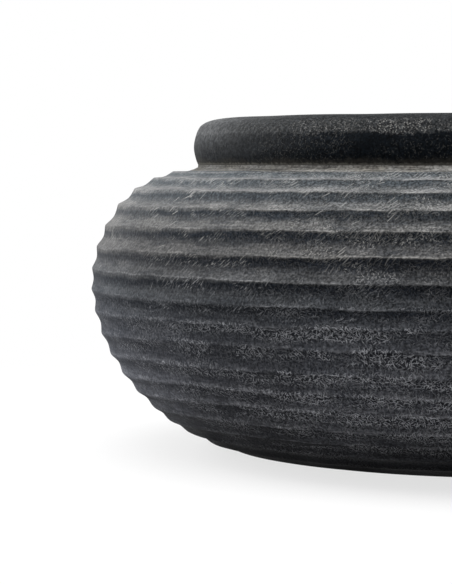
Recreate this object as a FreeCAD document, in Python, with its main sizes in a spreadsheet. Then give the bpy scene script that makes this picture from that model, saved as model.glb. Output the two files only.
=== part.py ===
import FreeCAD, Part
import math
import os
import Sketcher

# A low ribbed earthenware planter. Millimetres, +Z up, the axis of the pot on Z
# and the ground at Z = 0. The pads stand on the ground and carry the pot.
doc = FreeCAD.newDocument("ribbed_planter")
sheet = doc.addObject("Spreadsheet::Sheet", "Sizes")


class Size:
    """A length with its number, to draw with, and its sheet formula, to bind with."""

    def __init__(self, number, formula):
        self.number = number
        self.formula = formula

    def __add__(self, other):
        other = as_size(other)
        return Size(self.number + other.number, f"({self.formula} + {other.formula})")

    def __sub__(self, other):
        other = as_size(other)
        return Size(self.number - other.number, f"({self.formula} - {other.formula})")

    def __mul__(self, other):
        other = as_size(other)
        return Size(self.number * other.number, f"({self.formula} * {other.formula})")

    def __truediv__(self, other):
        other = as_size(other)
        return Size(self.number / other.number, f"({self.formula} / {other.formula})")

    def __pow__(self, other):
        other = as_size(other)
        return Size(self.number ** other.number, f"({self.formula} ^ {other.formula})")


def as_size(value):
    """A plain number as a size with itself as its formula."""
    if isinstance(value, Size):
        return value
    return Size(value, repr(float(value)))


def cosine(angle):
    """Cosine of an angle in degrees."""
    angle = as_size(angle)
    return Size(math.cos(math.radians(angle.number)), f"cos({angle.formula})")


def sine(angle):
    """Sine of an angle in degrees."""
    angle = as_size(angle)
    return Size(math.sin(math.radians(angle.number)), f"sin({angle.formula})")


def other_leg(long_side, leg):
    """The second leg of a right triangle from its long side and its first leg."""
    return (long_side ** 2 - leg ** 2) ** 0.5


def cell(alias, number, meaning):
    """Write one driving size on its own row of the sheet and return it as a size."""
    row = len(sheet.getUsedCells()) // 3 + 1
    sheet.set(f"A{row}", meaning)
    sheet.set(f"B{row}", str(number))
    sheet.set(f"C{row}", alias)
    sheet.setAlias(f"B{row}", alias)
    return Size(float(number), f"Sizes.{alias}")


# Heights are above the underside of the pot, radii are from the axis.
pad_thickness = cell("pad_thickness", 3, "rubber pad under the base")
pad_radius = cell("pad_radius", 17, "rubber pad")
pad_edge = cell("pad_edge", 1.2, "rounding of the pad's lower edge")
pad_circle = cell("pad_circle", 136, "circle of the pads' centres")
pad_count = 6

belly_radius = cell("belly_radius", 305.5, "crest of the widest rib")
belly_height = cell("belly_height", 122, "height of the widest rib")
shoulder_height = cell("shoulder_height", 212, "flat seat on top of the shoulder")
foot_radius = cell("foot_radius", 188, "outer edge of the flat underside")
shoulder_power = cell("shoulder_power", 0.96, "less than 1 carries the shoulder further out")
shoulder_lift = cell("shoulder_lift", 1.07, "more than 1 keeps the shoulder's ribs lower")
foot_power = cell("foot_power", 1.14, "more than 1 makes the lower wall straighter")
groove_radius = cell("groove_radius", 21, "finger that draws the hollow between two ribs")
crest_round = cell("crest_round", 4, "rounding of a rib's crest")
shoulder_rib_count = 8
foot_rib_count = 11

wall_thickness = cell("wall_thickness", 14, "wall at the belly and the shoulder")
inner_shoulder_arc = cell("inner_shoulder_arc", 55, "hollow under the shoulder")
inner_foot_arc = cell("inner_foot_arc", 150, "hollow above the floor")
floor_thickness = cell("floor_thickness", 16, "base slab")
slab_radius = cell("slab_radius", 160, "base slab below its step")
slab_step = cell("slab_step", 12, "width of the step that carries the slab")
step_height = cell("step_height", 7, "underside of the slab's step")
lute_gap = cell("lute_gap", 1.5, "bed between two fired pieces")

mouth_radius = cell("mouth_radius", 184, "clear mouth")
tongue_inset = cell("tongue_inset", 15, "seat between the mouth and the tongue")
tongue_width = cell("tongue_width", 14, "tongue on the shoulder")
tongue_height = cell("tongue_height", 14, "tongue above the seat")
rim_bed = cell("rim_bed", 3.4, "bed below the rim")
bed_slope = cell("bed_slope", 5.35, "shoulder's edge beyond the rim's lower edge")
rim_width = cell("rim_width", 42.6, "rim from the mouth to its widest part")
rim_undercut = cell("rim_undercut", 2.95, "rim's lower edge inside its widest part")
rim_face_arc = cell("rim_face_arc", 28, "bulge of the rim's outer face")
rim_corner_arc = cell("rim_corner_arc", 10, "rounding of the rim's two upper corners")
rim_face_turn = cell("rim_face_turn", 33, "degrees above level where the outer corner starts")
rim_corner_turn = cell("rim_corner_turn", 70, "degrees above level where the outer corner ends")
rim_inner_turn = cell("rim_inner_turn", 100, "degrees above level where the inner corner starts")

drain_top_radius = cell("drain_top_radius", 17, "drain hole at the floor")
drain_low_radius = cell("drain_low_radius", 13, "drain hole at the underside")
plug_gap = cell("plug_gap", 0.3, "clearance of the plug in the drain hole")
flange_radius = cell("flange_radius", 25, "plug flange that rests on the floor")
flange_height = cell("flange_height", 5, "plug flange")
flange_edge = cell("flange_edge", 2.5, "rounding of the flange's upper edge")
tab_width = cell("tab_width", 24, "pull tab on the plug")
tab_height = cell("tab_height", 22, "middle of the tab's round end above the flange's underside")
tab_thickness = cell("tab_thickness", 6, "pull tab on the plug")
tab_edge = cell("tab_edge", 1.5, "rounding of the tab's edges")
tab_hole_radius = cell("tab_hole_radius", 7, "finger hole in the tab")
doc.recompute()

underside = pad_thickness
rim_radius = mouth_radius + rim_width
rim_foot_radius = rim_radius - rim_undercut
shoulder_radius = rim_foot_radius + bed_slope


def new_body(label):
    """A body of its own for one piece, named after the piece."""
    body = doc.addObject("PartDesign::Body", label)
    body.Label = label
    return body


def new_sketch(body, name):
    """A sketch on the body's upright plane: across is the radius, up is the height."""
    sketch = body.newObject("Sketcher::SketchObject", name)
    plane = [item for item in body.Origin.OriginFeatures if item.Role == "XZ_Plane"][0]
    sketch.AttachmentSupport = (plane, [""])
    sketch.MapMode = "FlatFace"
    return sketch


def bind(sketch, kind, places, size):
    """Add one measured constraint and tie it to the sheet."""
    number = sketch.addConstraint(Sketcher.Constraint(kind, *places, size.number))
    sketch.setExpression(f"Constraints[{number}]", size.formula)


def arc_by_radius(start, end, radius):
    """The shorter arc from start to end that turns left."""
    chord = end - start
    half = chord.Length / 2
    left = FreeCAD.Vector(-chord.y, chord.x, 0).normalize()
    centre = (start + end) * 0.5 + left * math.sqrt(radius * radius - half * half)
    first = math.atan2(start.y - centre.y, start.x - centre.x)
    last = math.atan2(end.y - centre.y, end.x - centre.x)
    circle = Part.Circle(centre, FreeCAD.Vector(0, 0, 1), radius)
    return Part.ArcOfCircle(circle, first, last)


def draw_outline(sketch, corners, bends):
    """Draw a closed outline through the corners. A corner with no radius or no height
    lies on that axis. bends gives the radius of each side that is an arc, by its
    number, and every arc turns left on the way round."""
    points = []
    for across, up in corners:
        x = 0.0 if across is None else across.number
        y = 0.0 if up is None else up.number
        points.append(FreeCAD.Vector(x, y, 0))
    sides = []
    for index, start in enumerate(points):
        end = points[(index + 1) % len(points)]
        if index in bends:
            shape = arc_by_radius(start, end, bends[index].number)
        else:
            shape = Part.LineSegment(start, end)
        sides.append(sketch.addGeometry(shape, False))
    for index, side in enumerate(sides):
        following = sides[(index + 1) % len(sides)]
        sketch.addConstraint(Sketcher.Constraint("Coincident", side, 2, following, 1))
    for index, (across, up) in enumerate(corners):
        if across is None:
            sketch.addConstraint(Sketcher.Constraint("PointOnObject", sides[index], 1, -2))
        else:
            bind(sketch, "DistanceX", (-1, 1, sides[index], 1), across)
        if up is None:
            sketch.addConstraint(Sketcher.Constraint("PointOnObject", sides[index], 1, -1))
        else:
            bind(sketch, "DistanceY", (-1, 1, sides[index], 1), up)
        if index in bends:
            bind(sketch, "Radius", (sides[index],), bends[index])
    return sketch


def turn(body, sketch):
    """Turn an outline once around the axis."""
    turned = body.newObject("PartDesign::Revolution", f"{body.Name}_turned")
    turned.Profile = sketch
    turned.ReferenceAxis = (sketch, ["V_Axis"])
    turned.Angle = 360
    sketch.Visibility = False
    doc.recompute()
    return turned


# Ribbed wall. The crests of the ribs follow a quarter ellipse from the shoulder to the
# belly and a straighter quarter from the belly to the foot, in even steps of angle.
seat = underside + shoulder_height
belly = underside + belly_height
crests = []
for step in range(shoulder_rib_count, 0, -1):
    angle = 90.0 * step / shoulder_rib_count
    reach = cosine(angle) ** shoulder_power
    if step == shoulder_rib_count:
        reach = as_size(0)
    across = shoulder_radius + (belly_radius - shoulder_radius) * reach
    up = belly + (shoulder_height - belly_height) * sine(angle) ** shoulder_lift
    crests.append((across, up))
for step in range(foot_rib_count):
    angle = 90.0 * step / foot_rib_count
    across = foot_radius + (belly_radius - foot_radius) * cosine(angle) ** foot_power
    up = belly - belly_height * sine(angle) ** foot_power
    crests.append((across, up))

# The inside is three arcs that run into each other: above the floor, around the belly
# and under the shoulder. The belly arc lies between the two heights it has to span.
ceiling = seat - wall_thickness
hollow_up = ceiling - belly
hollow_down = belly_height - floor_thickness
belly_arc = (hollow_up + hollow_down) / 2
belly_centre = belly_radius - wall_thickness - belly_arc
shoulder_reach = belly_arc - inner_shoulder_arc
shoulder_rise = hollow_up - inner_shoulder_arc
shoulder_run = other_leg(shoulder_reach, shoulder_rise)
foot_reach = inner_foot_arc - belly_arc
foot_rise = inner_foot_arc - hollow_down
foot_run = other_leg(foot_reach, foot_rise)
foot_centre_across = belly_centre - foot_run
foot_centre_up = belly + foot_rise
socket_radius = slab_radius + slab_step + lute_gap
socket_drop = other_leg(inner_foot_arc, socket_radius - foot_centre_across)
ledge = underside + step_height - lute_gap
tongue_in = mouth_radius + tongue_inset
tongue_out = tongue_in + tongue_width
tongue_top = seat + tongue_height

wall = new_body("ribbed_wall")
corners = list(crests)
corners.append((foot_radius, underside))
rib_sides = range(len(crests))
corners.append((slab_radius + lute_gap, underside))
corners.append((slab_radius + lute_gap, ledge))
corners.append((socket_radius, ledge))
inside = len(corners)
corners.append((socket_radius, foot_centre_up - socket_drop))
corners.append((
    belly_centre + belly_arc * foot_run / foot_reach,
    belly - belly_arc * foot_rise / foot_reach,
))
corners.append((
    belly_centre + belly_arc * shoulder_run / shoulder_reach,
    belly + belly_arc * shoulder_rise / shoulder_reach,
))
corners.append((belly_centre + shoulder_run, ceiling))
corners.append((mouth_radius, ceiling))
corners.append((mouth_radius, seat))
corners.append((tongue_in, seat))
corners.append((tongue_in, tongue_top))
corners.append((tongue_out, tongue_top))
corners.append((tongue_out, seat))
bends = {side: groove_radius for side in rib_sides}
bends[inside] = inner_foot_arc
bends[inside + 1] = belly_arc
bends[inside + 2] = inner_shoulder_arc
wall_turned = turn(wall, draw_outline(new_sketch(wall, "wall_outline"), corners, bends))

# Every crest between two hollows is rounded.
crest_edges = []
for number, edge in enumerate(wall_turned.Shape.Edges, 1):
    if not isinstance(edge.Curve, Part.Circle):
        continue
    for across, up in crests[1:]:
        same_radius = abs(edge.Curve.Radius - across.number) < 0.01
        same_height = abs(edge.Curve.Center.z - up.number) < 0.01
        if same_radius and same_height:
            crest_edges.append(f"Edge{number}")
rounded = wall.newObject("PartDesign::Fillet", "wall_crests")
rounded.Base = (wall_turned, crest_edges)
rounded.setExpression("Radius", crest_round.formula)
doc.recompute()

# Base slab. A stepped disc that hangs on the ledge in the wall's foot, with a tapered
# drain hole in the middle.
floor = underside + floor_thickness
step_under = underside + step_height
slab = new_body("base_slab")
corners = [
    (drain_low_radius, underside),
    (slab_radius, underside),
    (slab_radius, step_under),
    (slab_radius + slab_step, step_under),
    (slab_radius + slab_step, floor),
    (drain_top_radius, floor),
]
turn(slab, draw_outline(new_sketch(slab, "slab_outline"), corners, {}))

# Floor lute. The thin bed that fills the stepped gap between the slab and the wall.
floor_lute = new_body("floor_lute")
corners = [
    (slab_radius, underside),
    (slab_radius + lute_gap, underside),
    (slab_radius + lute_gap, ledge),
    (socket_radius, ledge),
    (socket_radius, floor),
    (slab_radius + slab_step, floor),
    (slab_radius + slab_step, step_under),
    (slab_radius, step_under),
]
turn(floor_lute, draw_outline(new_sketch(floor_lute, "floor_lute_outline"), corners, {}))

# Rim ring. Bulging outer face, two rounded upper corners, a crowned top and a straight
# inner face. A groove below takes the tongue on the shoulder.
rim_under = seat + rim_bed
face_across = rim_radius - rim_face_arc
face_up = rim_under + other_leg(rim_face_arc, rim_foot_radius - face_across)
corner_across = face_across + (rim_face_arc - rim_corner_arc) * cosine(rim_face_turn)
corner_up = face_up + (rim_face_arc - rim_corner_arc) * sine(rim_face_turn)
crown_start_across = corner_across + rim_corner_arc * cosine(rim_corner_turn)
crown_start_up = corner_up + rim_corner_arc * sine(rim_corner_turn)
crown_span = crown_start_across - mouth_radius - rim_corner_arc - rim_corner_arc * cosine(rim_inner_turn)
crown_arc = crown_span / (cosine(rim_corner_turn) - cosine(rim_inner_turn))
crown_across = crown_start_across - crown_arc * cosine(rim_corner_turn)
crown_up = crown_start_up - crown_arc * sine(rim_corner_turn)
inner_up = crown_up + (crown_arc - rim_corner_arc) * sine(rim_inner_turn)
groove_in = tongue_in - lute_gap
groove_out = tongue_out + lute_gap
groove_top = tongue_top + lute_gap

rim = new_body("rim_ring")
corners = [
    (rim_foot_radius, rim_under),
    (
        face_across + rim_face_arc * cosine(rim_face_turn),
        face_up + rim_face_arc * sine(rim_face_turn),
    ),
    (crown_start_across, crown_start_up),
    (
        crown_across + crown_arc * cosine(rim_inner_turn),
        crown_up + crown_arc * sine(rim_inner_turn),
    ),
    (mouth_radius, inner_up),
    (mouth_radius, rim_under),
    (groove_in, rim_under),
    (groove_in, groove_top),
    (groove_out, groove_top),
    (groove_out, rim_under),
]
bends = {0: rim_face_arc, 1: rim_corner_arc, 2: crown_arc, 3: rim_corner_arc}
turn(rim, draw_outline(new_sketch(rim, "rim_outline"), corners, bends))

# Rim lute. The bed between the shoulder and the rim, over the tongue on both sides. Its
# outer edge slopes from the shoulder up to the rim and shows as a thin line.
rim_lute = new_body("rim_lute")
corners = [
    (shoulder_radius, seat),
    (rim_foot_radius, rim_under),
    (groove_out, rim_under),
    (groove_out, groove_top),
    (groove_in, groove_top),
    (groove_in, rim_under),
    (mouth_radius, rim_under),
    (mouth_radius, seat),
    (tongue_in, seat),
    (tongue_in, tongue_top),
    (tongue_out, tongue_top),
    (tongue_out, seat),
]
turn(rim_lute, draw_outline(new_sketch(rim_lute, "rim_lute_outline"), corners, {}))

# Drain plug. A tapered stopper with a flange that rests on the floor and an upright tab
# with a finger hole.
flange_top = floor + flange_height
plug = new_body("drain_plug")
corners = [
    (None, underside),
    (drain_low_radius - plug_gap, underside),
    (drain_top_radius - plug_gap, floor),
    (flange_radius, floor),
    (flange_radius, flange_top - flange_edge),
    (flange_radius - flange_edge, flange_top),
    (None, flange_top),
]
turn(plug, draw_outline(new_sketch(plug, "plug_outline"), corners, {4: flange_edge}))

tab_centre = floor + tab_height
tab_sketch = new_sketch(plug, "tab_outline")
half = (tab_width / 2).number
low = (floor + flange_height / 2).number
high = tab_centre.number
base_line = Part.LineSegment(FreeCAD.Vector(-half, low, 0), FreeCAD.Vector(half, low, 0))
right_line = Part.LineSegment(FreeCAD.Vector(half, low, 0), FreeCAD.Vector(half, high, 0))
round_end = Part.Circle(FreeCAD.Vector(0, high, 0), FreeCAD.Vector(0, 0, 1), half)
left_line = Part.LineSegment(FreeCAD.Vector(-half, high, 0), FreeCAD.Vector(-half, low, 0))
finger = Part.Circle(FreeCAD.Vector(0, high, 0), FreeCAD.Vector(0, 0, 1), tab_hole_radius.number)
base_side = tab_sketch.addGeometry(base_line, False)
right_side = tab_sketch.addGeometry(right_line, False)
end_side = tab_sketch.addGeometry(Part.ArcOfCircle(round_end, 0, math.pi), False)
left_side = tab_sketch.addGeometry(left_line, False)
hole_side = tab_sketch.addGeometry(finger, False)
tab_sketch.addConstraint(Sketcher.Constraint("Coincident", base_side, 2, right_side, 1))
tab_sketch.addConstraint(Sketcher.Constraint("Coincident", left_side, 2, base_side, 1))
tab_sketch.addConstraint(Sketcher.Constraint("Tangent", right_side, 2, end_side, 1))
tab_sketch.addConstraint(Sketcher.Constraint("Tangent", end_side, 2, left_side, 1))
tab_sketch.addConstraint(Sketcher.Constraint("Horizontal", base_side))
tab_sketch.addConstraint(Sketcher.Constraint("Vertical", right_side))
tab_sketch.addConstraint(Sketcher.Constraint("PointOnObject", end_side, 3, -2))
tab_sketch.addConstraint(Sketcher.Constraint("Coincident", hole_side, 3, end_side, 3))
bind(tab_sketch, "DistanceY", (-1, 1, base_side, 1), floor + flange_height / 2)
bind(tab_sketch, "DistanceY", (-1, 1, end_side, 3), tab_centre)
bind(tab_sketch, "Radius", (end_side,), tab_width / 2)
bind(tab_sketch, "Radius", (hole_side,), tab_hole_radius)
tab = plug.newObject("PartDesign::Pad", "plug_tab")
tab.Profile = tab_sketch
tab.SideType = "Symmetric"
tab.setExpression("Length", tab_thickness.formula)
tab_sketch.Visibility = False
doc.recompute()

# The tab's edges above the flange are rounded.
tab_edges = []
for number, edge in enumerate(tab.Shape.Edges, 1):
    middle = edge.valueAt((edge.FirstParameter + edge.LastParameter) / 2)
    on_face = abs(abs(middle.y) - tab_thickness.number / 2) < 0.01
    if on_face and middle.z > flange_top.number + 0.01:
        tab_edges.append(f"Edge{number}")
softened = plug.newObject("PartDesign::Fillet", "plug_tab_edges")
softened.Base = (tab, tab_edges)
softened.setExpression("Radius", tab_edge.formula)
doc.recompute()

# Foot pads. Equal rubber discs around the base slab.
pads = []
for number in range(1, pad_count + 1):
    pad = new_body(f"foot_pad_{number}")
    corners = [
        (None, None),
        (pad_radius - pad_edge, None),
        (pad_radius, pad_edge),
        (pad_radius, pad_thickness),
        (None, pad_thickness),
    ]
    turn(pad, draw_outline(new_sketch(pad, f"pad_outline_{number}"), corners, {1: pad_edge}))
    around = 360.0 * (number - 0.5) / pad_count
    pad.setExpression("Placement.Base.x", (pad_circle * cosine(around)).formula)
    pad.setExpression("Placement.Base.y", (pad_circle * sine(around)).formula)
    pads.append(pad)
doc.recompute()

# Nothing is written unless every object is sound.
pieces = [wall, slab, floor_lute, rim, rim_lute, plug] + pads
for item in doc.Objects:
    if "Invalid" in item.State or "Error" in item.State:
        raise RuntimeError(f"{item.Label} failed: {item.State}")
for piece in pieces:
    shape = piece.Shape
    if shape.isNull() or not shape.isValid() or len(shape.Solids) != 1:
        raise RuntimeError(f"{piece.Label} is not one sound solid")

os.makedirs("parts", exist_ok=True)
for piece in pieces:
    piece.Shape.exportStep(f"parts/{piece.Label}.step")
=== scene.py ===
import bpy
import numpy as np
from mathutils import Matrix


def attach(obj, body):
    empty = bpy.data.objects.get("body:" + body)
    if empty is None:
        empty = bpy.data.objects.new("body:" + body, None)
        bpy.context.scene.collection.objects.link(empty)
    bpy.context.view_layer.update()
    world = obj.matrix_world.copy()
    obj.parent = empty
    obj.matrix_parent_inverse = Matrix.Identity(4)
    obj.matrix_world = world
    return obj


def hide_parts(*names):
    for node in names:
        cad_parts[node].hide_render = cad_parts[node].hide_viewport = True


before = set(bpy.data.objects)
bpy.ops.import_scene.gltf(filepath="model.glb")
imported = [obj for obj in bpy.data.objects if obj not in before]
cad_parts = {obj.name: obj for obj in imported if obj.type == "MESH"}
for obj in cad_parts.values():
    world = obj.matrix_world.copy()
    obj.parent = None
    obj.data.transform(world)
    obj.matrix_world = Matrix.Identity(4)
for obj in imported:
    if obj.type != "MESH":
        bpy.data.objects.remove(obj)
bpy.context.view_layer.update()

# Ribbed wall: the round wall of the pot, turned in coarse clay, with finger-wide hollows
# drawn round it from the shoulder to the foot. It is fired black, left unglazed and then
# dry-brushed with a pale wash that stays on the lower, upward-facing side of each hollow;
# that pale side also carries painted light from above, and the clay is painted darker
# towards the foot as painted shade.
pot_under = 0.003
shoulder_height = 0.212
belly_height = 0.122
wall_seat = pot_under + shoulder_height
wall_belly = pot_under + belly_height
wall_thickness = 0.014
wall_ceiling = wall_seat - wall_thickness
belly_radius = 0.3055
shoulder_radius = 0.229
shoulder_drop = 0.0012
foot_radius = 0.188
belly_rib = 8
foot_rib = 19
shoulder_power = 0.96
shoulder_lift = 1.07
foot_power = 1.14
finger_radius = 0.021
wall_columns = 240
rib_rows = 13


def waves(angle, row, first, last):
    """Sum of sine waves round the pot, between -1 and 1. Wave k goes k times round and is 1/k as
    high, and its phase grows with the row, so that every row wavers in its own way. On the
    wall each use takes rows of its own, by a shift of their numbers."""
    wave = np.arange(first, last + 1)
    phase = row[..., None] * 2.4 * wave ** 1.3 + 1.7 * wave
    return (np.sin(wave * angle[..., None] + phase) / wave).sum(-1) / (1 / wave).sum()


def soft_dents(angle, along):
    """Sum of oblique sine waves, between -1 and 1: wave k goes 2k+1 times round while it passes
    k*k % 7 + 2 times along the wall, and is lower the faster it runs."""
    wave = np.arange(1, 9)
    steps = wave * wave % 7 + 2
    speed = np.hypot(2 * wave + 1, 4.0 * steps)
    path = (2 * wave + 1) * angle[..., None] + steps * along[..., None] + wave ** 2
    return (np.sin(path) / speed).sum(-1) / (1 / speed).sum()


def by_rib(rib, steps):
    """A value by rib number, in straight lines between the steps, each a number and a value."""
    numbers, values = zip(*steps)
    return np.interp(rib, numbers, values)


def crest_line(rib):
    """Radius and height of the rib crests by rib number, 0 at the rim's seat and 19 at the
    foot. Above the belly they follow a quarter ellipse, below it a straighter quarter."""
    up = np.clip((belly_rib - rib) / belly_rib, 0, 1) * np.pi / 2
    down = np.clip((rib - belly_rib) / (foot_rib - belly_rib), 0, 1) * np.pi / 2
    cos_up = np.clip(np.cos(up), 0, 1)
    cos_down = np.clip(np.cos(down), 0, 1)
    high_r = shoulder_radius + (belly_radius - shoulder_radius) * cos_up ** shoulder_power
    high_z = wall_belly + (wall_seat - wall_belly) * np.sin(up) ** shoulder_lift
    low_r = foot_radius + (belly_radius - foot_radius) * cos_down ** foot_power
    low_z = wall_belly - (wall_belly - pot_under) * np.sin(down) ** foot_power
    above = rib <= belly_rib
    return np.where(above, high_r, low_r), np.where(above, high_z, low_z)


# The ribs were drawn by hand, so their crests lie off their even places by a part of a rib:
# all round the pot, more on the side where the wall sagged, and by a waver of each rib's own.
# The wall also bulges in or out by a millimetre or two.
slow_waver = 0.09
quick_waver = 0.11
sag_middle = np.radians(190)
sag_reach = np.radians(20)
turns = np.arange(wall_columns) * 2 * np.pi / wall_columns
ribs = np.arange(foot_rib + 1.0)[:, None]
settled = by_rib(ribs, [
    (0, 0), (1, -0.02), (3, -0.13), (6, -0.07), (7, 0), (8, 0.03), (10, 0),
    (12, -0.04), (13, -0.18), (16, -0.45), (17, -0.40), (18, -0.20), (19, 0),
])
sagged = by_rib(ribs, [
    (4, 0), (5, 0.15), (7, 0.05), (8, 0.1), (10, 0.38), (12, 0.31),
    (13, 0.40), (16, 0.25), (17, 0.30), (18, 0.20), (19, 0),
])
bulged = by_rib(ribs, [
    (0, 0), (1, -0.0024), (2, -0.0010), (3, 0.0010), (4, 0.0014), (7, 0.0002), (9, -0.0009), (11, 0),
])
sag_side = np.exp(-((turns - sag_middle) / sag_reach) ** 2)
held = np.clip(np.minimum(ribs, foot_rib - ribs) / 2, 0, 1)
waver = slow_waver * waves(turns[None, :], ribs, 1, 6)
waver = waver + quick_waver * waves(turns[None, :], ribs + 20, 9, 40)
crest_r, crest_z = crest_line(ribs + settled + held * waver + sagged * sag_side)
crest_r = crest_r + bulged
crest_z = crest_z - by_rib(ribs, [(0, shoulder_drop), (1, 0)])

# A hollow runs from each crest to the next, as deep as the finger sank, with shallow dents.
row_crowding = 0.45
crest_round = 0.10
least_sunk = 0.0002
hollow_waver = 0.25
dent_depth = 0.0003
dent_path = 6 * np.pi
upper = ribs[:-1]
share = np.linspace(0, 1, rib_rows, endpoint=False)
share = (share - row_crowding * np.sin(2 * np.pi * share) / (2 * np.pi))[None, :, None]
from_r, to_r = crest_r[:-1, None, :], crest_r[1:, None, :]
from_z, to_z = crest_z[:-1, None, :], crest_z[1:, None, :]
chord = np.hypot(to_r - from_r, to_z - from_z)
hollow = finger_radius - np.sqrt(finger_radius ** 2 - chord ** 2 / 4)
drawn = 1.0 + hollow_waver * waves(turns[None, :], upper + 40, 1, 5)
drawn = drawn + hollow_waver * waves(turns[None, :], upper + 60, 8, 36)
drawn = drawn * by_rib(upper, [(0, 0.6), (1, 1.0), (10, 1.0), (16, 0.75), (18, 0.5)])
near_crest = np.sqrt(np.minimum(share, 1 - share) ** 2 + crest_round ** 2) - crest_round
sunk = least_sunk + (hollow * drawn[:, None, :]) * 4 * near_crest * (1 - near_crest)
along = (upper[:, :, None] + share) * dent_path / foot_rib + 0 * turns
sunk = sunk + dent_depth * (1 + soft_dents(turns + 0 * along, along))
out_r = from_r + (to_r - from_r) * share + sunk * (to_z - from_z) / chord
out_z = from_z + (to_z - from_z) * share - sunk * (to_r - from_r) / chord

# Two marks go with the outside: the rib number, and how strongly the wash, with the painted light on
# it, follows the hollow.
rub_waver = 0.30
out_rib = upper[:, :, None] + share + 0 * out_r
out_rub = by_rib(upper, [
    (0, 1.0), (7, 1.0), (8, 0.75), (9, 0.50), (11, 0.55), (13, 0.95), (18, 0.90),
])
out_rub = out_rub + rub_waver * waves(turns[None, :], upper + 90, 1, 9)
out_rub = np.clip(out_rub, 0, 1)[:, None, :] + 0 * out_r

# The inside is three arcs that run into each other: above the floor, round the belly and
# under the shoulder. Below them is the ledge for the floor, above them the tongue for the rim.
floor_thickness = 0.016
shoulder_arc = 0.055
foot_arc = 0.150
socket_radius = 0.1735
ledge_radius = 0.1615
ledge_height = 0.0085
mouth_radius = 0.184
tongue_inner = 0.199
tongue_outer = 0.213
tongue_height = 0.014
tongue_top = wall_seat + tongue_height
seat_outer = 0.2215
edge_ease = 0.0012
foot_lead = foot_rib - 0.07
throwing_depth = 0.0006
throwing_turn = 0.9


def eased_corners(corners, radius, steps=4):
    """Open line through the corners with each one but the ends replaced by a short parabola
    that starts and ends one radius away from it, or nearly half a side where that is less. Radius
    and height in two columns."""
    points = np.array(corners, dtype=float)
    line = [points[:1]]
    blend = np.linspace(0, 1, steps)[:, None]
    for before, corner, after in zip(points[:-2], points[1:-1], points[2:]):
        to_before = (before - corner) / np.linalg.norm(before - corner)
        to_after = (after - corner) / np.linalg.norm(after - corner)
        start = corner + to_before * min(radius, 0.45 * np.linalg.norm(before - corner))
        end = corner + to_after * min(radius, 0.45 * np.linalg.norm(after - corner))
        line.append((1 - blend) ** 2 * start + 2 * blend * (1 - blend) * corner + blend ** 2 * end)
    line.append(points[-1:])
    return np.vstack(line)


def arc(centre, radius, first, last, steps):
    """Points of an arc from the first to the last angle in degrees, level outwards being 0."""
    angle = np.radians(np.linspace(first, last, steps))
    across = centre[0] + radius * np.cos(angle)
    up = centre[1] + radius * np.sin(angle)
    return np.column_stack([across, up])


hollow_up = wall_ceiling - wall_belly
hollow_down = belly_height - floor_thickness
belly_arc = (hollow_up + hollow_down) / 2
shoulder_rise = hollow_up - shoulder_arc
shoulder_run = np.sqrt((belly_arc - shoulder_arc) ** 2 - shoulder_rise ** 2)
foot_rise = foot_arc - hollow_down
foot_run = np.sqrt((foot_arc - belly_arc) ** 2 - foot_rise ** 2)
belly_centre = np.array([belly_radius - wall_thickness - belly_arc, wall_belly])
shoulder_centre = belly_centre + np.array([shoulder_run, shoulder_rise])
foot_centre = belly_centre + np.array([-foot_run, foot_rise])
shoulder_meets = np.degrees(np.arctan2(shoulder_rise, shoulder_run))
foot_meets = -np.degrees(np.arctan2(foot_rise, foot_run))
socket_meets = -np.degrees(np.arccos((socket_radius - foot_centre[0]) / foot_arc))
inside = np.vstack([
    arc(foot_centre, foot_arc, socket_meets, foot_meets, 22),
    arc(belly_centre, belly_arc, foot_meets, shoulder_meets, 22)[1:],
    arc(shoulder_centre, shoulder_arc, shoulder_meets, 90, 12)[1:],
])
foot_corners = [
    crest_line(np.array(foot_lead)), (foot_radius, pot_under), (ledge_radius, pot_under),
    (ledge_radius, ledge_height), (socket_radius, ledge_height), inside[0],
]
neck_corners = [
    inside[-1], (mouth_radius, wall_ceiling), (mouth_radius, wall_seat), (tongue_inner, wall_seat),
    (tongue_inner, tongue_top), (tongue_outer, tongue_top), (tongue_outer, wall_seat),
    (seat_outer, wall_seat), (shoulder_radius, wall_seat - shoulder_drop),
]
foot_line = eased_corners(foot_corners, edge_ease)[1:-1]
neck_line = eased_corners(neck_corners, edge_ease)[1:-1]
throwing = throwing_depth * np.sin(np.arange(len(inside))[:, None] * throwing_turn + turns)
inside_r = inside[:, :1] + throwing * np.hanning(len(inside))[:, None]
hidden_r = np.vstack([foot_line[:, :1] + 0 * turns, inside_r, neck_line[:, :1] + 0 * turns])
hidden_z = np.vstack([foot_line[:, 1:], inside[:, 1:], neck_line[:, 1:]]) + 0 * turns
hidden_rib = foot_rib + 0.35


def put_in_scene(name, data):
    """A new object with that data, at the origin of the scene."""
    item = bpy.data.objects.new(name, data)
    bpy.context.scene.collection.objects.link(item)
    return item


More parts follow.
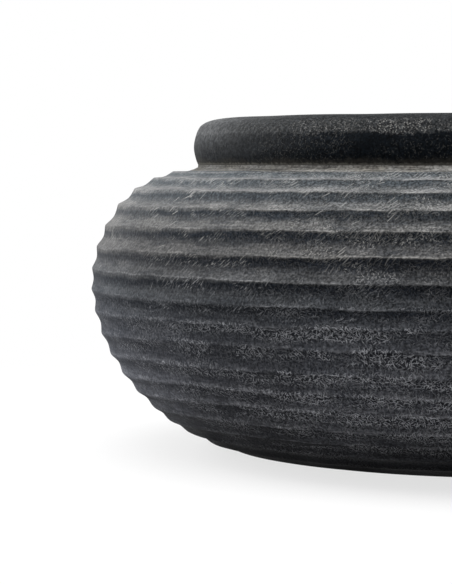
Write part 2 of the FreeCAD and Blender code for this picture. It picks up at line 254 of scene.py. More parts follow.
def ring_piece(name, radius, height, marks):
    """A closed ring from a grid of radii and heights. Row i is one point of the section, which
    runs down the outside, and column j one angle round the axis. Both ways the grid closes on
    itself. marks are further grids, kept as point attributes, and the corner attribute "turned"
    holds the way round and up along the surface in metres."""
    rows, columns = radius.shape
    angle = np.arange(columns) * 2 * np.pi / columns
    points = np.stack([radius * np.cos(angle), radius * np.sin(angle), height], -1)
    number = np.arange(rows * columns).reshape(rows, columns)
    below = np.roll(number, -1, 0)
    quads = np.stack([number, below, np.roll(below, -1, 1), np.roll(number, -1, 1)], -1)
    mesh = bpy.data.meshes.new(name)
    mesh.vertices.add(rows * columns)
    mesh.vertices.foreach_set("co", points.astype(np.float32).ravel())
    mesh.loops.add(quads.size)
    mesh.loops.foreach_set("vertex_index", quads.astype(np.int32).ravel())
    mesh.polygons.add(rows * columns)
    mesh.polygons.foreach_set("loop_start", np.arange(0, quads.size, 4, dtype=np.int32))
    mesh.update(calc_edges=True)
    mesh.polygons.foreach_set("use_smooth", np.ones(rows * columns, dtype=bool))
    for key, grid in marks.items():
        mark = mesh.attributes.new(key, "FLOAT", "POINT")
        mark.data.foreach_set("value", grid.astype(np.float32).ravel())
    section = np.column_stack([radius.mean(1), height.mean(1)])
    stride = np.linalg.norm(np.roll(section, -1, 0) - section, axis=1)
    up = -np.concatenate([[0], np.cumsum(stride)])[:, None] + np.zeros(columns + 1)
    across = np.arange(columns + 1) * 2 * np.pi / columns * radius.max() + 0 * up
    way = np.stack([across, up, 0 * up], -1)
    corners = np.stack([way[:-1, :-1], way[1:, :-1], way[1:, 1:], way[:-1, 1:]], -2)
    turned = mesh.attributes.new("turned", "FLOAT_VECTOR", "CORNER")
    turned.data.foreach_set("vector", corners.astype(np.float32).ravel())
    mesh.validate()
    return put_in_scene(name, mesh)


def outside_then_hidden(outside, hidden):
    """One grid of the wall's outer rows, rib after rib, followed by its hidden rows."""
    return np.vstack([outside.reshape(-1, wall_columns), hidden])


# A third mark is 1 on the hidden rows, which stay raw clay.
wall_marks = {
    "rib": outside_then_hidden(out_rib, hidden_rib + 0 * hidden_r),
    "rub": outside_then_hidden(out_rub, 0 * hidden_r),
    "raw": outside_then_hidden(0 * out_r, 1 + 0 * hidden_r),
}
wall_r = outside_then_hidden(out_r, hidden_r)
wall_z = outside_then_hidden(out_z, hidden_z)
wall = ring_piece("ribbed_wall_turned", wall_r, wall_z, wall_marks)


def add(tree, kind, inputs, **settings):
    """One shader node. Its inputs are plain values or other nodes' outputs."""
    item = tree.nodes.new("ShaderNode" + kind)
    for key, value in settings.items():
        setattr(item, key, value)
    for key, value in inputs.items():
        if isinstance(value, bpy.types.NodeSocket):
            tree.links.new(value, item.inputs[key])
        else:
            item.inputs[key].default_value = value
    return item


def sums(tree, operation, first, second=0.0, third=0.0):
    """One sum on numbers."""
    return add(tree, "Math", {0: first, 1: second, 2: third}, operation=operation).outputs[0]


def product(tree, *values):
    """All the values multiplied together."""
    result = values[0]
    for value in values[1:]:
        result = sums(tree, "MULTIPLY", result, value)
    return result


def between(tree, value, low, high, first=0.0, last=1.0):
    """The first value below low, the last value above high and smooth in between."""
    inputs = {"Value": value, "From Min": low, "From Max": high, "To Min": first, "To Max": last}
    return add(tree, "MapRange", inputs, interpolation_type="SMOOTHSTEP").outputs[0]


def grains(tree, place, size, detail=3.0, twist=0.0, stretch=(1, 1, 1), shift=(0, 0, 0)):
    """Cloudy noise with lumps of about that size in metres, squeezed by a scale on each axis and
    slid along by a shift."""
    inputs = {"Vector": place, "Scale": stretch, "Location": shift}
    squeezed = add(tree, "Mapping", inputs).outputs[0]
    inputs = {"Vector": squeezed, "Scale": 1 / size, "Detail": detail, "Distortion": twist}
    return add(tree, "TexNoise", inputs).outputs[0]


def jittered(tree, value, noise, reach):
    """A value plus the reach times how far the noise is from its middle, which is a half."""
    return sums(tree, "MULTIPLY_ADD", sums(tree, "SUBTRACT", noise, 0.5), reach, value)


def tinted(tree, amount, first, second):
    """Colour between two colours, by an amount from 0 to 1."""
    return add(tree, "Mix", {0: amount, 6: first, 7: second}, data_type="RGBA").outputs[2]


def scaled(tree, colour, amount):
    """A colour made darker or lighter by an amount."""
    return add(tree, "VectorMath", {0: colour, "Scale": amount}, operation="SCALE").outputs[0]


def colour_steps(tree, value, steps):
    """Colour that runs through the given steps, each a place from 0 to 1 and a colour."""
    ramp = add(tree, "ValToRGB", {0: value})
    elements = ramp.color_ramp.elements
    while len(elements) < len(steps):
        elements.new(0.5)
    for element, (position, colour) in zip(elements, steps):
        element.position = position
        element.color = (*colour, 1)
    return ramp.outputs[0]


def kept_mark(tree, name, kind="Fac"):
    """A mark that the mesh keeps: a number, or with the kind Vector a place."""
    return add(tree, "Attribute", {}, attribute_name=name).outputs[kind]


def fibres(tree, turned, cell, length, width, lean, spread, share, spacing=0.0):
    """Short curved strokes on the turned surface, at most one in each cell of that size and of
    its own brightness. A stroke leans by its angle in radians, give or take half the spread, and
    bends like a parabola, more so with a wider spread. A spacing makes it three strokes, side by
    side."""
    cells = add(tree, "TexVoronoi", {"Vector": turned, "Scale": 1 / cell}, voronoi_dimensions="2D")
    chance = add(tree, "SeparateColor", {0: cells.outputs["Color"]}).outputs
    middle = cells.outputs["Position"]
    away = add(tree, "VectorMath", {0: turned, 1: middle}, operation="SUBTRACT").outputs[0]
    angle = sums(tree, "MULTIPLY_ADD", sums(tree, "SUBTRACT", 0.5, chance[0]), spread, -lean)
    inputs = {"Vector": away, "Angle": angle}
    stroke = add(tree, "VectorRotate", inputs, rotation_type="Z_AXIS").outputs[0]
    along, across, _ = add(tree, "SeparateXYZ", {0: stroke}).outputs
    bend = sums(tree, "MULTIPLY", sums(tree, "SUBTRACT", chance[1], 0.5), 0.32 * spread / length)
    across = sums(tree, "MULTIPLY_ADD", product(tree, along, along), bend, across)
    bright = between(tree, chance[2], 0.0, share, 1.0, 0.0)
    if spacing:
        beside = between(tree, sums(tree, "ABSOLUTE", across), 1.3 * spacing, 1.4 * spacing, 1.0, 0.0)
        bright = product(tree, bright, beside)
        across = sums(tree, "PINGPONG", across, 0.5 * spacing)
    line = between(tree, sums(tree, "ABSOLUTE", across), 0.25 * width, 0.75 * width, 1.0, 0.0)
    ends = between(tree, sums(tree, "ABSOLUTE", along), 0.30 * length, 0.5 * length, 1.0, 0.0)
    return product(tree, line, ends, bright)


def new_material(name):
    """A material with its tree, its surface shader and the piece's own coordinates."""
    material = bpy.data.materials.new(name)
    material.use_nodes = True
    tree = material.node_tree
    shader = tree.nodes["Principled BSDF"]
    place = tree.nodes.new("ShaderNodeTexCoord").outputs["Object"]
    return material, tree, shader, place


def finish_surface(tree, shader, colour, roughness, relief, depth, gloss=0.5):
    """Join colour, roughness, a relief of that depth in metres and a gloss to the shader."""
    bump = add(tree, "Bump", {"Strength": 0.5, "Distance": depth, "Height": relief})
    tree.links.new(colour, shader.inputs["Base Color"])
    tree.links.new(roughness, shader.inputs["Roughness"])
    tree.links.new(bump.outputs[0], shader.inputs["Normal"])
    shader.inputs["Specular IOR Level"].default_value = gloss


# Colours by height, 0 at the ground and 1 at the top of the colour height. They run dark towards
# the foot: painted shade where the light falls off under the belly, over the clay's own tone.
colour_height = 0.22
black_clay_with_painted_shade = [
    (0.00, (0.0012, 0.0012, 0.0015)),
    (0.12, (0.0040, 0.0044, 0.0057)),
    (0.25, (0.0205, 0.0224, 0.0286)),
    (0.42, (0.0236, 0.0262, 0.0332)),
    (0.58, (0.0126, 0.0152, 0.0202)),
    (0.72, (0.0114, 0.0142, 0.0200)),
    (0.84, (0.0200, 0.0248, 0.0314)),
    (1.00, (0.0760, 0.0870, 0.0955)),
]
pale_wash_with_painted_shade = [
    (0.00, (0.0015, 0.0015, 0.0018)),
    (0.045, (0.0060, 0.0062, 0.0072)),
    (0.12, (0.0360, 0.0374, 0.0428)),
    (0.25, (0.1050, 0.1082, 0.1220)),
    (0.42, (0.0850, 0.0879, 0.0990)),
    (0.58, (0.0575, 0.0614, 0.0672)),
    (0.72, (0.0870, 0.0866, 0.0874)),
    (0.84, (0.1340, 0.1335, 0.1318)),
    (1.00, (0.2350, 0.2390, 0.2430)),
]
chalk_with_painted_shade = [
    (0.00, (0.0300, 0.0302, 0.0317)),
    (0.045, (0.0600, 0.0605, 0.0640)),
    (0.12, (0.3400, 0.3440, 0.3640)),
    (0.25, (0.7000, 0.7120, 0.7590)),
    (0.42, (0.6100, 0.6220, 0.6630)),
    (0.58, (0.4300, 0.4390, 0.4660)),
    (0.72, (0.3950, 0.3850, 0.3680)),
    (1.00, (0.4800, 0.4800, 0.4700)),
]
raw_dark = (0.030, 0.029, 0.029, 1)
raw_pale = (0.060, 0.057, 0.054, 1)
clay, tree, shader, place = new_material("charcoal_clay")
side, _, height = add(tree, "SeparateXYZ", {0: place}).outputs
rise = sums(tree, "DIVIDE", height, colour_height)
rib = kept_mark(tree, "rib")
rub = kept_mark(tree, "rub")
raw = kept_mark(tree, "raw")
turned = kept_mark(tree, "turned", "Vector")
patches = grains(tree, place, 0.080, detail=4.0, twist=0.4)
crowds = grains(tree, place, 0.030, detail=4.0, twist=0.3, stretch=(1, 1, 2.5))
wobble = grains(tree, place, 0.020, detail=4.0, stretch=(1, 1, 2.2))
mottle = grains(tree, place, 0.0034, detail=4.0)
grit = grains(tree, place, 0.0022, detail=1.0)
dust = grains(tree, place, 0.0014, detail=0.0)
brushed = grains(tree, place, 0.0026, detail=2.0, stretch=(1, 1, 0.12))
streaks = grains(tree, place, 0.040, detail=4.0, twist=0.2, stretch=(1, 1, 7))
bristles = grains(tree, place, 0.018, detail=3.0, twist=0.1, stretch=(1, 1, 12))
smooth_left = between(tree, side, -0.27, -0.05, 0.28, 1.0)

# The wash: pale on the lower, upward-facing side of each hollow, which is also painted light
# from above, with a painted highlight on the crest, by the way down from one crest, 0, to the
# next, 1. It is evener where the belly was wiped, and painted lighter high on the far left,
# painted light along that edge.
even_wash = 0.40
phase = jittered(tree, rib, wobble, 0.24)
phase = jittered(tree, phase, mottle, 0.12)
phase = sums(tree, "FRACT", phase)
# Painted highlight: the crest is pale over a width that narrows from left to right.
crest_highlight_width = between(tree, side, -0.26, -0.12, 0.28, 0.08)
crest_highlight = between(tree, phase, 0.0, crest_highlight_width, 1.0, 0.0)
band = sums(tree, "MAXIMUM", crest_highlight, between(tree, phase, 0.18, 0.80))
wiped_flat = product(
    tree, between(tree, side, -0.12, -0.04, 0.55, 0.0), between(tree, rise, 0.28, 0.38),
    between(tree, rise, 0.52, 0.58, 1.0, 0.0),
)
not_wiped = sums(tree, "SUBTRACT", 1.0, wiped_flat)
rub = product(tree, rub, not_wiped)
band = sums(tree, "MULTIPLY_ADD", sums(tree, "SUBTRACT", band, even_wash), rub, even_wash)
band = product(
    tree, band, between(tree, patches, 0.25, 0.75, 0.65, 1.25),
    between(tree, brushed, 0.3, 0.7, 0.90, 1.10), between(tree, streaks, 0.3, 0.7, 0.70, 1.25),
    between(tree, bristles, 0.3, 0.7, 0.62, 1.38),
)
# Painted light: high on the far left the wash is made paler.
painted_light_high_left = product(
    tree, between(tree, side, -0.29, -0.20, 0.30, 0.0), between(tree, rise, 0.50, 0.70),
    between(tree, rise, 0.80, 0.90, 1.0, 0.40),
)
band = sums(tree, "ADD", band, painted_light_high_left)
# Painted shade: the height ramps make the clay, the wash and the chalk darker towards the foot.
dark = colour_steps(tree, rise, black_clay_with_painted_shade)
pale = colour_steps(tree, rise, pale_wash_with_painted_shade)
colour = tinted(tree, band, dark, pale)
colour = scaled(tree, colour, between(tree, grit, 0.30, 0.70, 0.76, 1.26))
dusty = sums(tree, "SUBTRACT", between(tree, dust, 0.30, 0.70), 0.47)
dusty = product(tree, dusty, smooth_left)
colour = scaled(tree, colour, sums(tree, "MULTIPLY_ADD", dusty, 0.85, 1.0))

# Chalky marks: curls mostly on the lower half, specks and scratches mostly on the upper half,
# hatching in the upper hollows, and pale streaks on the crests that are dry chalk and a painted
# highlight.
any_way = 6.3
curl_width = 0.0005
hatch_lean = -0.6
clumps = grains(tree, place, 0.040, detail=4.0, twist=0.3, stretch=(1, 1, 5))
clumps = between(tree, clumps, 0.40, 0.56, 0.22, 1.0)
curls = fibres(
    tree, turned, cell=0.0019, length=0.0024, width=curl_width, lean=0.0, spread=any_way, share=1.0,
)
for cell, lean in ((0.0031, 0.4), (0.0044, 1.1), (0.0057, 0.2)):
    longer = fibres(
        tree, turned, cell, length=1.2 * cell, width=curl_width, lean=lean, spread=any_way, share=1.2,
    )
    curls = sums(tree, "MAXIMUM", curls, longer)
upper_strip = between(tree, phase, 0.46, 0.70, 1.0, 0.35)
strip = sums(tree, "MAXIMUM", upper_strip, between(tree, phase, 0.78, 0.93, 0.35, 1.0))
curls = product(
    tree, curls, clumps, smooth_left, between(tree, rise, 0.46, 0.64, 1.0, 0.14), strip,
    between(tree, grit, 0.30, 0.70, 0.60, 1.25),
)
specks = fibres(
    tree, turned, cell=0.0021, length=0.0021, width=0.0006, lean=0.3, spread=any_way, share=0.9,
)
dots = between(tree, grains(tree, place, 0.0016, detail=1.0), 0.60, 0.72, 0.0, 0.6)
specks = product(
    tree, sums(tree, "MAXIMUM", specks, dots), smooth_left, between(tree, crowds, 0.40, 0.66),
    between(tree, side, -0.20, -0.08, 0.4, 1.0), between(tree, phase, 0.05, 0.30, 0.4, 1.0),
)
gaps = between(tree, grains(tree, place, 0.055, detail=3.0), 0.45, 0.60)
scratches = fibres(
    tree, turned, cell=0.0150, length=0.0080, width=0.0008, lean=0.90, spread=0.5, share=1.0,
    spacing=0.0034,
)
stray = fibres(
    tree, turned, cell=0.0100, length=0.0085, width=0.0007, lean=0.70, spread=0.9, share=0.8,
)
scratches = sums(tree, "MAXIMUM", scratches, stray)
scratches = product(tree, scratches, gaps, between(tree, rise, 0.50, 0.75))
inputs = {"Vector": turned, "Angle": hatch_lean}
slanted = add(tree, "VectorRotate", inputs, rotation_type="Z_AXIS")
hatching = grains(tree, slanted.outputs[0], 0.0009, detail=1.0, twist=0.3, stretch=(0.16, 1, 1))
hatching = product(
    tree, between(tree, hatching, 0.53, 0.67), between(tree, phase, 0.30, 0.55, 1.0, 0.0),
    between(tree, crowds, 0.47, 0.56), between(tree, rise, 0.38, 0.52),
    between(tree, side, -0.27, -0.20),
)
lip = between(tree, rise, 0.40, 0.55, 0.72, 0.88)
# Painted highlight with dry chalk: pale broken streaks along the top of each crest.
crest_streaks_and_highlight = product(
    tree, between(tree, phase, lip, 0.97), between(tree, streaks, 0.43, 0.58), smooth_left,
    between(tree, bristles, 0.35, 0.60, 0.35, 1.0), between(tree, rise, 0.40, 0.55, 0.40, 0.65),
    not_wiped,
)
marks = curls
for layer, strength in (
    (scratches, 0.60),
    (specks, between(tree, rise, 0.55, 0.80, 0.42, 0.95)),
    (hatching, between(tree, side, -0.16, -0.09, 0.50, 0.26)),
    (crest_streaks_and_highlight, between(tree, grit, 0.4, 0.6, 0.4, 1.0)),
):
    marks = sums(tree, "MAXIMUM", marks, product(tree, layer, strength))

# Painted shade and light by place: painted shade just below each crest, painted shade in two
# patches on the left and painted light at the far left.
# Painted shade: the colour is darkened just below each crest, less on the left and where the belly was
# wiped.
painted_crest_shade = between(tree, smooth_left, 0.30, 0.80, 0.95, 0.60)
painted_crest_shade = product(tree, painted_crest_shade, between(tree, rise, 0.30, 0.40, 0.85, 1.0))
painted_crest_shade = sums(tree, "MINIMUM", sums(tree, "MULTIPLY_ADD", wiped_flat, 0.3, painted_crest_shade), 1.0)
colour = scaled(tree, colour, between(tree, phase, 0.02, 0.20, painted_crest_shade, 1.0))
under_clumps = product(tree, clumps, smooth_left)
colour = scaled(tree, colour, between(tree, under_clumps, 0.2, 1.0, 1.05, 0.78))
# Painted shade: two patches on the left of the wall are darkened, a higher one near the edge and a
# lower one further in.
painted_shade_left = product(
    tree, between(tree, side, -0.262, -0.232), between(tree, side, -0.195, -0.165, 0.18, 0.0),
    between(tree, rise, 0.72, 0.84, 1.0, 0.15), between(tree, rise, 0.22, 0.36),
)
painted_shade_left_low = product(
    tree, between(tree, side, -0.140, -0.105, 0.33, 0.0), between(tree, rise, 0.52, 0.66, 1.0, 0.0),
)
painted_shade_left_low = product(tree, between(tree, side, -0.225, -0.195), painted_shade_left_low)
painted_shade_on_left = sums(tree, "MAXIMUM", painted_shade_left, painted_shade_left_low)
colour = scaled(tree, colour, sums(tree, "SUBTRACT", 1.0, painted_shade_on_left))
# Painted light: the far left edge is made up to a fifth lighter.
colour = scaled(tree, colour, between(tree, side, -0.285, -0.245, 1.2, 1.0))
# Painted light: a low patch on the left is made up to a third lighter.
painted_light_low_left = product(
    tree, between(tree, side, -0.240, -0.185, 0.34, 0.0), between(tree, rise, 0.14, 0.22),
    between(tree, rise, 0.30, 0.40, 1.0, 0.0),
)
colour = scaled(tree, colour, sums(tree, "ADD", painted_light_low_left, 1.0))
colour = tinted(tree, marks, colour, colour_steps(tree, rise, chalk_with_painted_shade))
raw_colour = tinted(tree, between(tree, mottle, 0.3, 0.7), raw_dark, raw_pale)
colour = tinted(tree, raw, colour, raw_colour)
roughness = between(tree, patches, 0.3, 0.7, 0.70, 0.92)
relief = sums(tree, "MULTIPLY_ADD", marks, 0.8, sums(tree, "MULTIPLY_ADD", grit, 0.6, mottle))
finish_surface(tree, shader, colour, roughness, relief, depth=0.0008, gloss=0.035)
wall.data.materials.append(clay)
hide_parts("ribbed_wall")
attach(wall, "pot")

# Base slab: the turned floor disc with its tapered drain hole, hung on a ledge in the wall's
# foot. Raw charcoal clay with faint turning rings and a lime bloom.
slab_dark = (0.032, 0.031, 0.031, 1)
slab_pale = (0.058, 0.055, 0.052, 1)
lime_bloom = (0.17, 0.16, 0.15, 1)


def dress(name, material):
    """Give a solid's own mesh that material in place of its plain one."""
    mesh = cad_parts[name].data
    mesh.materials.clear()
    mesh.materials.append(material)


slab_clay, tree, shader, place = new_material("raw_slab_clay")
level_place = add(tree, "VectorMath", {0: place, 1: (1, 1, 0)}, operation="MULTIPLY").outputs[0]
from_axis = add(tree, "VectorMath", {0: level_place}, operation="LENGTH").outputs["Value"]
ring_place = add(tree, "CombineXYZ", {0: from_axis}).outputs[0]
rings = grains(tree, ring_place, 0.006, detail=3.0)
mottle = grains(tree, place, 0.0040, detail=4.0)
bloom = grains(tree, place, 0.060, detail=4.0, twist=0.5)
colour = tinted(tree, between(tree, mottle, 0.3, 0.7), slab_dark, slab_pale)
limed = product(tree, between(tree, bloom, 0.5, 0.75), between(tree, mottle, 0.4, 0.6), 0.5)
colour = tinted(tree, limed, colour, lime_bloom)
roughness = between(tree, bloom, 0.3, 0.7, 0.75, 0.95)
relief = sums(tree, "MULTIPLY_ADD", rings, 0.8, mottle)
finish_surface(tree, shader, colour, roughness, relief, depth=0.0010, gloss=0.25)
dress("base_slab", slab_clay)

# Floor lute: the bed of buff slip that fills the step between the slab and the wall's foot.
# Pressed in wet to seal the joint, then worn, streaked dark and smeared pale.
slip_tan = (0.138, 0.131, 0.117, 1)
slip_grey = (0.161, 0.158, 0.151, 1)
slip_dark = (0.036, 0.035, 0.032, 1)
slip_pale = (0.255, 0.250, 0.237, 1)
buff, tree, shader, place = new_material("buff_slip")
side = add(tree, "SeparateXYZ", {0: place}).outputs[0]
lumps = grains(tree, place, 0.0022, detail=3.0)
smears = grains(tree, place, 0.050, detail=5.0, twist=0.2, stretch=(1, 1, 28))
worn = grains(tree, place, 0.028, detail=4.0)
lines = grains(tree, place, 0.030, detail=3.0, twist=0.1, stretch=(1, 1, 40))
colour = tinted(tree, between(tree, worn, 0.38, 0.62), slip_tan, slip_grey)
colour = tinted(tree, product(tree, between(tree, lines, 0.48, 0.60), 0.80), colour, slip_dark)
colour = tinted(tree, product(tree, between(tree, smears, 0.50, 0.66), 0.70), colour, slip_pale)
colour = scaled(tree, colour, between(tree, lumps, 0.30, 0.70, 0.52, 1.53))
# Painted light and shade: the slip is made darker to the left and lighter to the right.
colour = scaled(tree, colour, between(tree, side, -0.16, -0.02, 0.69, 1.55))
roughness = between(tree, worn, 0.3, 0.7, 0.80, 0.95)
relief = sums(tree, "MULTIPLY_ADD", smears, 0.6, lumps)
finish_surface(tree, shader, colour, roughness, relief, depth=0.0012, gloss=0.2)
dress("floor_lute", buff)

# Rim lute: the bed of the same buff slip between the shoulder and the rim, over the tongue on
# both sides. It was pressed out below the rim and smeared by hand onto the first rib.
rim_bed = 0.0026
rim_under = wall_seat + rim_bed
rim_foot_radius = 0.2230
bed_gap = 0.0015
bed_inset = 0.0020
bed_depth = 0.0022
bed_ease = 0.0004
smear_rows = 2
smear_skin = 0.0001
smear_swell = 0.0003
smear_sink = 0.0004
cove_swell = 0.0004
cove_back = 0.2225
cove = np.array([(0.2236, 0.0022), (0.2229, 0.0004), (0.2234, -0.0020), (0.2262, -0.0034)])
thin = np.linspace(1, 0, smear_rows + 1)[:, None]
smear_wave = 0.5 + 0.5 * waves(turns[None, :] * 3, thin + 7, 1, 9)
smear_r = out_r[0, :smear_rows + 1, :]
smear_z = out_z[0, :smear_rows + 1, :] + smear_skin + smear_swell * thin * smear_wave
smear_z[-1] = smear_z[-1] - smear_sink
cove_r = cove[:, :1] + cove_swell * smear_wave[:1]
cove_z = rim_under + cove[:, 1:] + smear_swell * smear_wave[:1]
bed_corners = [
    (smear_r[-1].mean(), smear_z[-1].mean()), (shoulder_radius - bed_inset, wall_seat - bed_depth),
    (tongue_outer, wall_seat), (tongue_outer, tongue_top), (tongue_inner, tongue_top),
    (tongue_inner, wall_seat), (mouth_radius, wall_seat), (mouth_radius, rim_under),
    (tongue_inner - bed_gap, rim_under), (tongue_inner - bed_gap, tongue_top + bed_gap),
    (tongue_outer + bed_gap, tongue_top + bed_gap), (tongue_outer + bed_gap, rim_under),
    (rim_foot_radius - bed_inset, rim_under), (cove_back, rim_under + cove[0, 1]),
]
bed_line = eased_corners(bed_corners, bed_ease, 3)[1:-1]
lute_r = np.vstack([cove_r, smear_r, bed_line[:, :1] + 0 * turns])
lute_z = np.vstack([cove_z, smear_z, bed_line[:, 1:] + 0 * turns])
rim_lute = ring_piece("rim_lute_smeared", lute_r, lute_z, {})
rim_lute.data.materials.append(buff)
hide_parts("rim_lute")
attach(rim_lute, "pot")

# Rim ring: the heavy rolled rim, formed by itself and bedded over the tongue on the shoulder.
# Near-black clay, paddled by hand, with a pale dusting on its upper third and a painted sheen, painted
# light, towards its left end.
rim_radius = 0.2266
face_height = 0.2309
face_arc = 0.0280
corner_arc = 0.0100
face_end, face_turn, corner_turn, inner_turn = -29, 33, 70, 100
rim_middle = np.array([0.2055, 0.2340])
rim_foot_inset = 0.0012
rim_ease = 0.0010
rim_columns = 320
paddle_depth = 0.0004
paddle_rest = 0.00025
paddle_path = 2.4 * np.pi
paddle_first, paddle_last = 8, 48


def turned_by(degrees):
    """Unit step at an angle above level outwards."""
    return np.array([np.cos(np.radians(degrees)), np.sin(np.radians(degrees))])


face_centre = np.array([rim_radius - face_arc, face_height])
corner_centre = face_centre + (face_arc - corner_arc) * turned_by(face_turn)
crown_start = corner_centre + corner_arc * turned_by(corner_turn)
crown_span = crown_start[0] - mouth_radius - corner_arc - corner_arc * turned_by(inner_turn)[0]
crown_arc = crown_span / (turned_by(corner_turn)[0] - turned_by(inner_turn)[0])
crown_centre = crown_start - crown_arc * turned_by(corner_turn)
inner_centre = crown_centre + (crown_arc - corner_arc) * turned_by(inner_turn)
rim_shape = np.vstack([
    arc(inner_centre, corner_arc, 180, inner_turn, 12),
    arc(crown_centre, crown_arc, inner_turn, corner_turn, 16)[1:],
    arc(corner_centre, corner_arc, corner_turn, face_turn, 10)[1:],
    arc(face_centre, face_arc, face_turn, face_end, 22)[1:],
])
rim_corners = [
    rim_shape[-1], (rim_foot_radius - rim_foot_inset, rim_under), (tongue_outer + bed_gap, rim_under),
    (tongue_outer + bed_gap, tongue_top + bed_gap), (tongue_inner - bed_gap, tongue_top + bed_gap),
    (tongue_inner - bed_gap, rim_under), (mouth_radius, rim_under), rim_shape[0],
]
rim_under_line = eased_corners(rim_corners, rim_ease)[1:-1]

# The paddle only pushed the clay in, less at the mouth and not at all at the rim's lower edge.
rim_turns = np.arange(rim_columns) * 2 * np.pi / rim_columns
rim_along = np.linspace(0, paddle_path, len(rim_shape))[:, None] + 0 * rim_turns
paddled = soft_dents(rim_turns + 0 * rim_along, rim_along)
paddled = paddled + waves(rim_turns[None, :], rim_along[:, :1] * 0.15 + 3, 2, 7)
paddled = np.minimum(paddle_depth * paddled - paddle_rest, 0)
rim_points = np.arange(len(rim_shape))
paddle_ends = [0, paddle_first, paddle_last, rim_points[-1]]
paddled = paddled * np.interp(rim_points, paddle_ends, [0.2, 1, 1, 0])[:, None]
outward = rim_shape - rim_middle
outward = outward / np.linalg.norm(outward, axis=1, keepdims=True)
face_r = rim_shape[:, :1] + outward[:, :1] * paddled
face_z = rim_shape[:, 1:] + outward[:, 1:] * paddled
rim_r = np.vstack([face_r, rim_under_line[:, :1] + 0 * rim_turns])
rim_z = np.vstack([face_z, rim_under_line[:, 1:] + 0 * rim_turns])
rim = ring_piece("rim_ring_rolled", rim_r, rim_z, {})

rim_black = (0.0021, 0.0032, 0.0045, 1)
rim_charcoal = (0.0062, 0.0078, 0.0100, 1)
# Painted sheen: the grey that the left end of the rim is painted towards.
rim_painted_sheen = (0.1180, 0.1210, 0.1250, 1)
rim_veil = (0.0270, 0.0288, 0.0303, 1)
rim_speck = (0.290, 0.283, 0.270, 1)
rim_scuff = (0.072, 0.072, 0.069, 1)
rim_smudge = (0.042, 0.039, 0.034, 1)
rim_slip = (0.155, 0.148, 0.132, 1)
black, tree, shader, place = new_material("black_rim_clay")
side, _, height = add(tree, "SeparateXYZ", {0: place}).outputs
turned = kept_mark(tree, "turned", "Vector")
patches = grains(tree, place, 0.060, detail=4.0, twist=0.3)
mottle = grains(tree, place, 0.0026, detail=4.0)
grit = grains(tree, place, 0.0015, detail=2.0)
drift = grains(tree, place, 0.045, detail=3.0, shift=(0.138, 0, 0))
brushed = grains(tree, place, 0.0030, detail=2.0, stretch=(1, 1, 0.15))
blotches = grains(tree, place, 0.0036, detail=5.0, stretch=(1, 1, 1.4))
# Painted sheen and wiped dust: 1 at the left end of the rim and 0 towards the middle.
wiped_and_sheen_left = between(tree, side, -0.22, -0.10, 1.0, 0.0)

# The dusting starts at an uneven line. On the left the dusting was wiped away, and the rim is
# painted a lighter grey there: painted sheen from the left, lighter towards the top and at the far
# end.
dust_line = jittered(tree, height, drift, 0.009)
dust_line = jittered(tree, dust_line, mottle, 0.007)
dusting = product(
    tree, between(tree, dust_line, 0.2391, 0.2416), between(tree, brushed, 0.3, 0.7, 0.75, 1.1),
    between(tree, height, 0.2470, 0.2505, 1.0, 0.5),
)
body = tinted(tree, between(tree, patches, 0.35, 0.65), rim_black, rim_charcoal)
# Painted sheen: grey that grows towards the top of the rim and at its far left end.
painted_sheen_face = between(tree, height, 0.222, 0.238, 0.145, 0.26)
painted_sheen = sums(tree, "ADD", painted_sheen_face, between(tree, dust_line, 0.2393, 0.2412, 0.0, 0.25))
painted_sheen = sums(tree, "ADD", painted_sheen, between(tree, height, 0.2450, 0.2510, 0.0, 0.28))
painted_sheen_far_end = product(
    tree, between(tree, side, -0.204, -0.174, 1.0, 0.0), between(tree, height, 0.224, 0.238, 0.3, 1.0),
    between(tree, height, 0.2385, 0.2460, 1.0, 0.4),
)
painted_sheen = product(tree, painted_sheen, sums(tree, "ADD", painted_sheen_far_end, 1.0))
painted_sheen = product(tree, wiped_and_sheen_left, between(tree, brushed, 0.3, 0.7, 0.7, 0.9), painted_sheen)
body = tinted(tree, painted_sheen, body, rim_painted_sheen)
veil = product(tree, dusting, between(tree, wiped_and_sheen_left, 0.0, 1.0, 1.0, 0.1))
colour = tinted(tree, veil, body, rim_veil)
finest = between(tree, wiped_and_sheen_left, 0.0, 1.0, 0.50, 0.80)
coarsest = between(tree, wiped_and_sheen_left, 0.0, 1.0, 1.60, 1.22)
colour = scaled(tree, colour, between(tree, grit, 0.30, 0.70, finest, coarsest))
colour = scaled(tree, colour, between(tree, blotches, 0.36, 0.64, 0.72, 1.30))

# Pale specks in the dusting, scuffs from handling, and slip smudged onto the lower edge.
few = product(
    tree, between(tree, drift, 0.44, 0.58, 0.45, 1.0), between(tree, wiped_and_sheen_left, 0.0, 1.0, 1.0, 0.4),
    between(tree, side, -0.145, -0.070, 0.34, 1.0), between(tree, height, 0.2470, 0.2510, 1.0, 0.25),
)
specks = fibres(
    tree, turned, cell=0.0013, length=0.0013, width=0.0008, lean=0.0, spread=any_way, share=0.9,
)
specks = product(tree, specks, dusting, few, between(tree, grit, 0.35, 0.65, 0.3, 1.2))
colour = tinted(tree, specks, colour, rim_speck)
dots = between(tree, grains(tree, place, 0.0014, detail=1.0), 0.58, 0.70)
scuffs = fibres(
    tree, turned, cell=0.0030, length=0.0026, width=0.0005, lean=0.9, spread=2.4, share=0.6,
)
handled = product(
    tree, between(tree, side, -0.190, -0.150), between(tree, side, -0.115, -0.080, 0.8, 0.0),
)
handled = sums(tree, "MAXIMUM", handled, between(tree, patches, 0.42, 0.62))
scuffs = product(tree, sums(tree, "MAXIMUM", dots, scuffs), handled, 0.7)
colour = tinted(tree, scuffs, colour, rim_scuff)
smudge = product(tree, between(tree, dust_line, 0.2185, 0.2235, 1.0, 0.0), 0.7)
colour = tinted(tree, smudge, colour, rim_smudge)
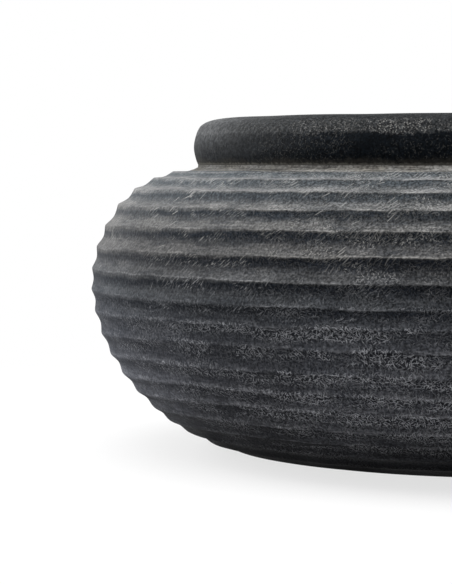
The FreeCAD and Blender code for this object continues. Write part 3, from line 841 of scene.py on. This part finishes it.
slip = between(tree, jittered(tree, height, mottle, 0.004), 0.2180, 0.2196, 0.85, 0.0)
colour = tinted(tree, slip, colour, rim_slip)
roughness = between(tree, patches, 0.3, 0.7, 0.60, 0.85)
relief = sums(tree, "MULTIPLY_ADD", specks, 0.6, sums(tree, "MULTIPLY_ADD", grit, 0.5, mottle))
finish_surface(tree, shader, colour, roughness, relief, depth=0.0006, gloss=0.03)
rim.data.materials.append(black)
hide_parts("rim_ring")
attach(rim, "pot")

# Drain plug: the moulded stopper of black rubber in the drain hole. Its flange rests on the
# floor, and it is pulled out by the tab.
rubber_dark = (0.016, 0.016, 0.017, 1)
rubber_dusty = (0.038, 0.037, 0.036, 1)
rubber, tree, shader, place = new_material("black_rubber")
cloud = grains(tree, place, 0.012, detail=4.0)
pebble = grains(tree, place, 0.0008, detail=2.0)
colour = tinted(tree, between(tree, cloud, 0.35, 0.70), rubber_dark, rubber_dusty)
roughness = between(tree, cloud, 0.3, 0.7, 0.55, 0.80)
finish_surface(tree, shader, colour, roughness, pebble, depth=0.0002)
dress("drain_plug", rubber)

# Foot pads: six round pads of the same black rubber, stuck below the slab so that water can
# run out under the pot.
pad_count = 6
for number in range(1, pad_count + 1):
    dress(f"foot_pad_{number}", rubber)

# Studio: a pale floor that runs into a white background, one wide soft light above with a
# weaker one at each side, and a camera level with the rim's lower edge, tilted a little down.
floor_reach = 9.0
floor_mesh = bpy.data.meshes.new("studio_floor")
floor_corners = np.array([(-1, -1, 0), (1, -1, 0), (1, 1, 0), (-1, 1, 0)]) * floor_reach
floor_mesh.from_pydata(floor_corners.tolist(), [], [(0, 1, 2, 3)])
studio_floor = put_in_scene("studio_floor", floor_mesh)


def seen_straight(tree):
    """1 for what the camera sees, straight or through gloss and glass, and 0 for soft light."""
    path = add(tree, "LightPath", {})
    direct = sums(tree, "MAXIMUM", path.outputs["Is Camera Ray"], path.outputs["Is Glossy Ray"])
    return sums(tree, "MAXIMUM", direct, path.outputs["Is Transmission Ray"])


pale_floor, tree, shader, place = new_material("pale_floor")
shader.inputs["Base Color"].default_value = (0.30, 0.30, 0.30, 1)
shader.inputs["Roughness"].default_value = 0.95
shader.inputs["Specular IOR Level"].default_value = 0.0
shaded = add(tree, "BsdfDiffuse", {"Color": (0.85, 0.85, 0.85, 1)})
from_middle = add(tree, "VectorMath", {0: place}, operation="LENGTH").outputs["Value"]
white_share = between(tree, from_middle, 0.25, 0.85, 0.72, 1.0)
glow = add(tree, "Emission", {"Color": (1, 1, 1, 1), "Strength": 1.0})
shown = add(tree, "MixShader", {0: white_share, 1: shaded.outputs[0], 2: glow.outputs[0]})
lit = add(tree, "MixShader", {0: seen_straight(tree), 1: shader.outputs[0], 2: shown.outputs[0]})
tree.links.new(lit.outputs[0], tree.nodes["Material Output"].inputs["Surface"])
floor_mesh.materials.append(pale_floor)

world = bpy.data.worlds.new("studio")
bpy.context.scene.world = world
world.use_nodes = True
tree = world.node_tree
around = tree.nodes["Background"]
around.inputs["Color"].default_value = (1, 1, 1, 1)
around.inputs["Strength"].default_value = 0.30
white = add(tree, "Background", {"Color": (1, 1, 1, 1), "Strength": 1.0})
sky = add(tree, "MixShader", {0: seen_straight(tree), 1: around.outputs[0], 2: white.outputs[0]})
tree.links.new(sky.outputs[0], tree.nodes["World Output"].inputs["Surface"])


def soft_light(name, place, aim, size, power):
    """A square soft light at a place, turned to its aim."""
    lamp = bpy.data.lights.new(name, "AREA")
    lamp.shape = "SQUARE"
    lamp.size = size
    lamp.energy = power
    ahead = np.array(aim, dtype=float) - np.array(place, dtype=float)
    tilt = np.arctan2(np.hypot(ahead[0], ahead[1]), -ahead[2])
    heading = np.arctan2(ahead[0], -ahead[1]) + np.pi
    holder = put_in_scene(name, lamp)
    holder.location = place
    holder.rotation_euler = (tilt, 0, heading)


soft_light("overhead", place=(-0.6, -0.6, 2.4), aim=(0, 0, 0.1), size=2.4, power=60)
soft_light("left", place=(-2.1, 0.3, 1.1), aim=(0, 0, 0.12), size=1.4, power=46)
soft_light("right", place=(2.0, 1.4, 1.0), aim=(0, 0, 0.12), size=1.4, power=22)

# The camera's values: pixels, millimetres of sensor, metres and degrees.
picture_height = 584
focal_pixels = 2276.4
sensor_width = 36
eye_distance = 1.7525
eye_height = 0.2192
look_down = 3.25
look_left = 6.62
camera = bpy.data.cameras.new("camera")
camera.sensor_width = sensor_width
camera.lens = focal_pixels / picture_height * sensor_width
eye = put_in_scene("camera", camera)
eye.location = (0, -eye_distance, eye_height)
eye.rotation_euler = (np.radians(90 - look_down), 0, np.radians(look_left))
bpy.context.scene.camera = eye
bpy.context.scene.view_settings.view_transform = "Standard"
